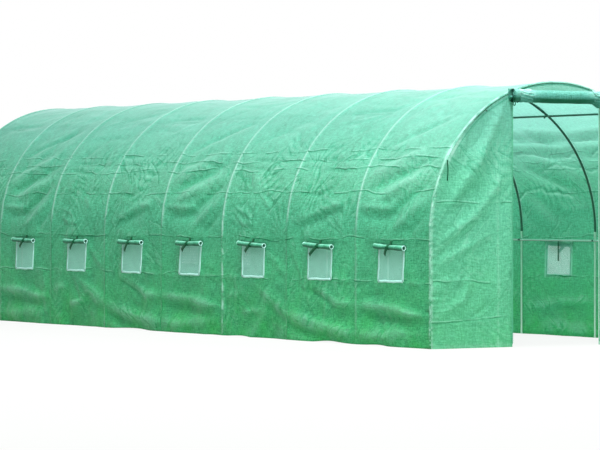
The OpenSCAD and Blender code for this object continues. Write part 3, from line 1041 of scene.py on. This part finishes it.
# The rolled door: half its length, places of its ties and of its middle, and of a loose fold
DOOR_ROLL_HALF, DOOR_TIES = DOOR_HALF + 0.04, (-0.345, 0.345)
DOOR_ROLL_Y = FRONT_Y - 0.0003 - ROLL_R
LOOSE_FOLD_X = 0.352
BAND_HALF, BAND_ROWS, BAND_SIDES = 0.058, 12, 56
LOOP_R, LOOP_TUBE = 0.014, 0.0036


def spiral(r_out, r_core, turns, tail, steps):
    """A roll's section as (out, up) points, from its sewn edge to its core."""
    points = [(-r_out, tail * (1 - i / FLAT_POINTS)) for i in range(FLAT_POINTS)]
    n = int(turns * steps)
    for i in range(n + 1):
        a = math.pi + TURN * turns * i / n
        r = r_out - (r_out - r_core) * i / n
        points.append((r * math.cos(a), r * math.sin(a)))
    return points


def by_ties(w, width):
    """Nearness to the door's ties, for a place along the roll."""
    return sum(bell(w - t, width) for t in DOOR_TIES)


def door_roll_scale(w, o, u):
    """How full the rolled door is: drawn in at its ties, puckered beside them, flared at its ends."""
    a = math.atan2(u, o)
    pucker = math.sin(a * 9 + 2.5 * math.sin(w * 7)) * 0.018 * by_ties(w, 0.07)
    wave = 0.02 * math.sin(w * 9 + a) + 0.015 * math.sin(w * 23 - 2 * a)
    flare = 0.05 * (abs(w) / DOOR_ROLL_HALF) ** 8
    return 1 - 0.17 * by_ties(w, 0.045) + pucker + wave + flare - 0.02


def door_roll_drop(w, o, u):
    """How far the rolled door hangs: a sag in the middle, and a loose fold by the right tie."""
    sag = -0.008 * math.cos(math.pi * w / (2 * DOOR_ROLL_HALF))
    under = max(0.0, -u / ROLL_R) ** 2 if math.hypot(o, u) > 0.8 * ROLL_R else 0.0
    return sag - 0.045 * under * bell(w - LOOSE_FOLD_X, 0.040)


def door_roll_tone(w, u):
    """Pale over the ties, with a painted highlight on the top and painted shade on the underside."""
    near = by_ties(w, 0.085)
    # painted highlight on the top and painted shade on the underside
    top, low = step(-0.1, 0.5, u / ROLL_R), step(-0.12, -0.42, u / ROLL_R)
    return (0.26 * near + 0.03 * top) * (1 - low) - (0.92 - 0.45 * near) * low


def make_door_roll():
    section = spiral(ROLL_R, 0.015, 8.7, 0.05, 28)
    along = np.linspace(-DOOR_ROLL_HALF, DOOR_ROLL_HALF, 92)
    points, tone = [], []
    for w in along:
        for o, u in section:
            k = door_roll_scale(w, o, u)
            points.append((w, DOOR_ROLL_Y - o * k, ROLL_Z + u * k + door_roll_drop(w, o, u)))
            tone.append(door_roll_tone(w, u))
    lengths = running_lengths(section)
    uv = [(w, d) for w in along for d in lengths]
    ob = mesh_object("door_roll_cloth", points, grid_faces(len(along), len(section)), uv, tone)
    dress(ob, ROLLED, "roll", "door_roll")


def make_door_ties():
    """The crumpled bands round the rolled door, and the loop at its end."""
    bag = Bag()
    for t in DOOR_TIES:
        points, uv, tone = [], [], []
        for f in np.linspace(-1, 1, BAND_ROWS):
            for k, a in enumerate(np.linspace(0, TURN, BAND_SIDES)):
                r = ROLL_R * (0.91 + 0.09 * f * f) + 0.0028 * math.sin(13 * a + 3 * f)
                r += 0.002 * math.sin(7 * a - 5 * f)
                w = t + BAND_HALF * f + 0.004 * math.sin(5 * a)
                points.append((w, DOOR_ROLL_Y - r * math.cos(a), ROLL_Z - 0.004 + r * math.sin(a)))
                uv.append((w, k * 0.006))
                # painted light on the bands' tops, painted shade under them, and painted light and shade on
                # their crumples
                tone.append(0.08 + 0.34 * max(math.sin(a), -0.9) + 0.20 * math.sin(13 * a + 3 * f))
        bag.add(points, grid_faces(BAND_ROWS, BAND_SIDES), uv, tone)
    dress(bag.make("door_tie_bands"), ROLLED, "tie", "door_ties")
    loop = Bag()
    x, y, z = 0.012 - DOOR_ROLL_HALF, DOOR_ROLL_Y - 0.010, ROLL_Z - ROLL_R - 0.012
    ring = [(x, y + a, z + b) for a, b in arc(LOOP_R, 0.5, TURN + 0.5, 20)]
    loop.add(*tube(ring, LOOP_TUBE, 8, False))
    dress(loop.make("door_loop"), DARK, "tie")


# Windows
WALL_X = SHEET_R + 0.001
NET_SEAM, NET_GRID = 0.012, 16
BINDING_OUT, BINDING_THICK = 0.0030, 0.003
FLAP_HALF, FLAP_X = WIN_HALF + 0.040, WALL_X + 0.004 + FLAP_R
FLAP_SECTION = spiral(FLAP_R, 0.006, 3.4, 0.026, 22)
TIE_R, TIE_WIDTH, TAIL_WIDTH = FLAP_R * 0.90, 0.034, 0.028
HEM_R, HEM_TUBE = 0.76 * FLAP_R, 0.0032


def make_net(s, i, yc, lean, rnd):
    """The net of one window, bowed a little in or out."""
    a, b = np.meshgrid(np.linspace(-1, 1, NET_GRID), np.linspace(0, 1, NET_GRID), indexing="ij")
    tall = WIN_TOP - SILL_Z + 2 * NET_SEAM
    yy, zz = a * (WIN_HALF + NET_SEAM), SILL_Z - NET_SEAM + b * tall
    bow = 0.005 * np.cos(a * math.pi / 2) * np.sin(b * math.pi) * rnd.uniform(-1, 1)
    bow += 0.002 * noise2(a * 2 + i, b * 2, 400 + i)
    points = rows(s * (WALL_X + bow * (np.abs(a) < 0.98)), yc + yy + sill_shift(zz, lean), zz)
    ob = mesh_object(f"window_net_{WORDS[s]}_{i + 1}", points, grid_faces(NET_GRID, NET_GRID, flip=s > 0),
                     rows(yy, zz))
    dress(ob, NET, "net", f"{WORDS[s]}_window_nets")


def add_binding(bag, s, i, yc, lean, rnd):
    """Three tapes round a window's foot and sides, a little uneven."""
    edge, foot = WIN_HALF + BIND / 2, SILL_Z - BIND / 2
    corners = [(-edge, WIN_TOP), (lean - edge, foot), (lean + edge, foot), (edge, WIN_TOP)]
    for (ya, za), (yb, zb) in zip(corners, corners[1:]):
        upright = abs(za - zb) > abs(ya - yb)
        path = []
        for f in np.linspace(0, 1, 14):
            wob = 0.0016 * math.sin(11 * f + i) + 0.0010 * math.sin(29 * f + 2 * i)
            y, z = yc + ya + (yb - ya) * f, za + (zb - za) * f
            path.append((s * (WALL_X + BINDING_OUT), y + wob * upright, z + wob * (not upright)))
        width = BIND * rnd.uniform(0.9, 1.08) * (1.0 if upright else 0.9)
        bag.add(*ribbon(path, (0, 1, 0) if upright else (0, 0, 1), width, BINDING_THICK))


def flap_rise(w, tilt):
    """How far a rolled flap stands above the window's top at a place along it."""
    return tilt * w - 0.003 * math.cos(w * 7)


def make_flap(s, i, yc, tilt, phase, tie_at):
    """One rolled-up flap, drawn in at its tie."""
    along = np.linspace(-FLAP_HALF, FLAP_HALF, 26)
    points = []
    for w in along:
        for o, u in FLAP_SECTION:
            wave = 0.05 * math.sin(w * 22 + phase) + 0.04 * math.sin(w * 47 + 2 * math.atan2(u, o) + phase)
            k = 1 - 0.14 * bell(w - tie_at, 0.020) + wave
            points.append((s * (FLAP_X + o * k), yc + w, WIN_TOP + u * k + flap_rise(w, tilt)))
    lengths = running_lengths(FLAP_SECTION)
    uv = [(w, d) for w in along for d in lengths]
    # painted shade: the flat tail and the roll's underside darker, its top a little paler
    rolled = [np.interp(u / FLAP_R, (-0.6, 0.6), (-0.85, 0.16)) for o, u in FLAP_SECTION[FLAT_POINTS:]]
    tone = ([-0.5] * FLAT_POINTS + rolled) * len(along)
    faces = grid_faces(len(along), len(FLAP_SECTION), flip=s < 0)
    ob = mesh_object(f"window_flap_{WORDS[s]}_{i + 1}", points, faces, uv, tone)
    dress(ob, ROLLED, "roll", f"{WORDS[s]}_window_rolls")


def add_tie(bag, s, y, z, rnd):
    """A tape over the rolled flap, with a knot and one loose end hanging."""
    up = [(s * (WALL_X + 0.004), y, z + 0.05), (s * (WALL_X + 0.006), y, z + 0.034)]
    loop = [(s * (FLAP_X + a), y, z + b) for a, b in arc(TIE_R, 2.5, -2.4, 18)]
    bag.add(*ribbon(up + loop, (0, 1, 0), TIE_WIDTH))
    slant = rnd.uniform(0.9, 1.9) * (1 if rnd.random() < 0.8 else -0.6)
    drop = rnd.uniform(0.045, 0.075)
    tail = [(s * (FLAP_X + TIE_R * (1.0 - 0.9 * f * f)), y + slant * drop * f, z - 0.2 * TIE_R - drop * f)
            for f in np.linspace(0, 1, 8)]
    bag.add(*ribbon(tail, (0, 1, 0.5), TAIL_WIDTH))
    x = s * (FLAP_X + TIE_R + 0.003)
    knot = [(x, y + 0.012 * a, z + 0.009 * b - 0.004) for a, b in arc(1.0, 0, TURN, 10)]
    bag.add(*tube(knot, 0.0045, 6, False))


def add_hems(bag, s, yc, tilt):
    """The hems at both ends of a rolled flap."""
    for end in (-FLAP_HALF, FLAP_HALF):
        z = WIN_TOP + flap_rise(end, tilt)
        ring = [(s * (FLAP_X + a), yc + end, z + b) for a, b in arc(HEM_R, 0, TURN, 17)]
        bag.add(*tube(ring, HEM_TUBE, 6, False))


def make_windows(s):
    """Nets, bindings, rolled flaps and ties of one side; s is -1 for the left."""
    rnd = random.Random(17 if s < 0 else 18)
    binding, ties = Bag(), Bag()
    for i in range(BAYS):
        yc, lean = FIRST_Y + (i + 0.5) * BAY, LEANS[s][i]
        make_net(s, i, yc, lean, rnd)
        add_binding(binding, s, i, yc, lean, rnd)
        tilt, phase, tie_at = rnd.uniform(-0.012, 0.050), rnd.uniform(0, 6), rnd.uniform(-0.03, 0.02)
        make_flap(s, i, yc, tilt, phase, tie_at)
        add_tie(ties, s, yc + tie_at, WIN_TOP + flap_rise(tie_at, tilt), rnd)
        if s > 0:
            # the tape's end on the inside of the wall
            inner = [(SHEET_R - 0.008, yc, WIN_TOP + 0.02 - 0.16 * f) for f in np.linspace(0, 1, 6)]
            ties.add(*ribbon(inner, (0, 1, 0), 0.014))
        add_hems(binding, s, yc, tilt)
    word = WORDS[s]
    bound = binding.make(f"window_bindings_{word}")
    dress(bound, BINDING if s < 0 else THIN_BINDING, "binding", f"{word}_window_bindings")
    dress(ties.make(f"window_tie_tapes_{word}"), DARK, "tie", f"{word}_window_ties")


# Hoop sleeves, zips, piping and bolts
SLEEVE_R, SLEEVE_SIDES = 0.0120, 12
# Below this height the sleeves are gathered more
SLEEVE_TOP = 1.15
ZIP_WIDTH, TOOTH_WIDTH, TOOTH_TALL = 0.006, 0.005, 0.004
PIPING_R, PIPING_TUBE, PIPING_ENDS = SHEET_R - 0.014, 0.0020, np.radians((48, 132))
FRONT_TIE_ANGLE, FRONT_TIE_LONG = math.radians(28.6), 0.155
BOLT_R, BOLT_HEAD, BOLT_END = 0.008, 0.006, 0.016


def hoop_path(r):
    """Points (x, z) of a hoop from its left foot to its right one."""
    left = [(-r, z) for z in np.linspace(0, LEG, 40)]
    arch = [(-a, LEG + b) for a, b in arc(r, 0, math.pi, 200)]
    right = [(r, z) for z in np.linspace(LEG, 0, 40)]
    return left + arch[1:] + right[1:]


def make_sleeve(name, y, seed):
    """The gathered pocket that holds an end hoop along its outer edge."""
    path = [(x, y, z) for x, z in hoop_path(HOOP_R + 0.001)]
    first, second, _ = np.random.RandomState(seed).uniform(0, 6, 3)
    radii = []
    for (_, _, z), run in zip(path, running_lengths(path)):
        gather = math.sin(run * TURN / 0.043 + first) + 0.7 * math.sin(run * TURN / 0.027 + second)
        radii.append(SLEEVE_R + 0.0008 * (1.0 if z < SLEEVE_TOP else 0.35) * gather)
    uv = [(k * 0.008, i * 0.02) for i in range(len(path)) for k in range(SLEEVE_SIDES)]
    worn = noise2(np.arange(len(path)) * 0.45, np.zeros(len(path)), seed + 330)
    # painted highlight: the sleeve paler over the arch than down the legs
    tone = [(0.42 if p[2] > 1.0 else 0.20) + 0.40 * w for p, w in zip(path, worn)]
    ob = mesh_object(name, *tube(path, radii, SLEEVE_SIDES), uv, np.repeat(tone, SLEEVE_SIDES))
    dress(ob, PANEL, "panel")


def make_zips():
    """Zips down both sides of the doorway, tape and teeth."""
    zips = Bag()
    for s in (-1, 1):
        x, y = s * (DOOR_HALF + 0.002), FRONT_Y - 0.0012
        zips.add(*ribbon([(x, y, z) for z in np.linspace(0.02, 1.86, 60)], (1, 0, 0), ZIP_WIDTH, 0.002))
        x, y = x - s * 0.005, FRONT_Y - 0.0030
        for z in np.linspace(0.03, 1.85, 240):
            zips.add(*ribbon([(x, y, z), (x, y, z + TOOTH_TALL)], (1, 0, 0), TOOTH_WIDTH, 0.0015))
    dress(zips.make("door_zips"), ZIP, "tie")


def make_piping():
    """A short tie that hangs from the front hoop, and the piping of the arch."""
    piping = Bag()
    x, z = -END_R * math.cos(FRONT_TIE_ANGLE), LEG + END_R * math.sin(FRONT_TIE_ANGLE)
    path = [(x + 0.006 * math.sin(3 * f), FRONT_Y - 0.006, z - FRONT_TIE_LONG * f)
            for f in np.linspace(0, 1, 10)]
    piping.add(*ribbon(path, (1, 0, 0), 0.009))
    seam = [(-a, FIRST_Y - 0.0135, LEG + b) for a, b in arc(PIPING_R, *PIPING_ENDS, 70)]
    piping.add(*tube(seam, PIPING_TUBE, 8))
    dress(piping.make("front_piping"), DARK, "binding")


def make_bolts():
    """A bolt at each joint of a hoop and a purlin: a six-sided head and its stem."""
    bolts = Bag()
    r = ARCH - HOOP_D - PURLIN_D
    slant = (math.cos(UPPER_PURLIN_ANGLE), math.sin(UPPER_PURLIN_ANGLE))
    for i in range(BAYS + 1):
        for s in (-1, 1):
            for (dx, dz), z in (((1, 0), SIDE_PURLIN), (slant, LEG)):
                base = Vector((s * dx * r, FIRST_Y + i * BAY, z + dz * r))
                out = Vector((-s * dx, 0, -dz))
                neck = base + out * BOLT_HEAD
                bolts.add(*tube([base, neck], BOLT_R, 6))
                bolts.add(*tube([neck, base + out * BOLT_END], [0.003, 0.0028], 8))
    dress(bolts.make("frame_bolts"), SHADED_STEEL, "tube")


make_cover()
make_side_panel(-1, 0)
make_side_panel(1, 7)
make_head()
make_rear()
make_door_roll()
make_door_ties()
make_windows(-1)
make_windows(1)
make_sleeve("front_hoop_sleeve", FIRST_Y, 3)
make_sleeve("rear_hoop_sleeve", LAST_Y, 4)
make_zips()
make_piping()
make_bolts()
# painted light: legs, side purlins and posts wear the pale lit copy of the tube, the rest the dark shaded
# copy
for name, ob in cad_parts.items():
    if not ob.hide_render:
        wear(ob, LIT_STEEL if name.endswith(("_legs", "_side_purlin", "_post")) else SHADED_STEEL)


# Stage, light and camera
FLOOR_HALF, FLOOR_Z = 120, -0.001
FLOOR_PAINT, FLOOR_WHITE = (0.45, 0.47, 0.42), 0.88
WHITE = (1, 1, 1)
SKY = 0.20
LIGHT_COLOR = (0.92, 0.98, 1.0)
IMAGE_WIDTH, IMAGE_HEIGHT = 600, 450
FOCAL_PIXELS, HORIZON_ROW = 3206.2, 206.49
SENSOR = 36.0
CAMERA_PLACE, CAMERA_YAW = (-14.552, -19.550 + FIRST_Y, 1.0541), math.radians(32.108)


def seen_rays(g):
    """1 for rays that show the background: from the camera, a mirror or clear material."""
    outputs = g.add("LightPath").socket.node.outputs
    glossy, through = Value(g, outputs["Is Glossy Ray"]), Value(g, outputs["Is Transmission Ray"])
    return Value(g, outputs["Is Camera Ray"]).at_least(glossy.at_least(through))


def make_floor():
    me = bpy.data.meshes.new("floor")
    corners = [(FLOOR_HALF * a, FLOOR_HALF * b, 0) for a, b in ((-1, -1), (1, -1), (1, 1), (-1, 1))]
    me.from_pydata(corners, [], [(0, 1, 2, 3)])
    floor = bpy.data.objects.new("floor", me)
    bpy.context.scene.collection.objects.link(floor)
    floor.location.z = FLOOR_Z
    made, g = new_material("pale_floor")
    paint = g.add("BsdfDiffuse", {"Color": FLOOR_PAINT})
    white = g.add("Emission", {"Color": WHITE, "Strength": 1.0})
    g.add("OutputMaterial", {0: g.blend(seen_rays(g) * FLOOR_WHITE, paint, white)})
    me.materials.append(made)


def make_world():
    """A dim even light that is white where it is seen."""
    world = bpy.data.worlds.new("studio")
    bpy.context.scene.world = world
    world.use_nodes = True
    g = Graph(world.node_tree)
    strength = seen_rays(g) * (1 - SKY) + SKY
    g.add("OutputWorld", {0: g.add("Background", {"Color": WHITE, "Strength": strength})})


def area_light(name, place, target, size, power, mirrored=True):
    data = bpy.data.lights.new(name, "AREA")
    data.color = LIGHT_COLOR
    data.shape, data.size, data.energy = "SQUARE", size, power
    ob = bpy.data.objects.new(name, data)
    ob.location = place
    ob.visible_glossy = mirrored
    ob.rotation_euler = (Vector(target) - Vector(place)).to_track_quat("-Z", "Y").to_euler()
    bpy.context.scene.collection.objects.link(ob)


def make_camera():
    cam = bpy.data.cameras.new("camera")
    cam.sensor_width = SENSOR
    cam.lens = FOCAL_PIXELS * SENSOR / IMAGE_WIDTH
    cam.shift_y = -(IMAGE_HEIGHT / 2 - HORIZON_ROW) / IMAGE_WIDTH
    cam.clip_end = 400
    ob = bpy.data.objects.new("camera", cam)
    ob.location = CAMERA_PLACE
    ob.rotation_euler = (math.radians(90), 0, -CAMERA_YAW)
    bpy.context.scene.collection.objects.link(ob)
    bpy.context.scene.camera = ob


make_floor()
make_world()
area_light("overhead", (-3.5, -4.8, 13.5), (0, -1.0, 0.5), 4.5, 2850)
area_light("front_fill", (-6.6, -14.0, 11.6), (0, -0.8, 1), 6.0, 2380)
area_light("far_fill", (7.0, -3.0, 10.0), (0.8, -2.5, 1.5), 4.0, 730)
area_light("rear_fill", (3.0, 17.0, 8.0), (0, 3.5, 1), 6.0, 1100, mirrored=False)
make_camera()
bpy.context.scene.view_settings.view_transform = "Standard"
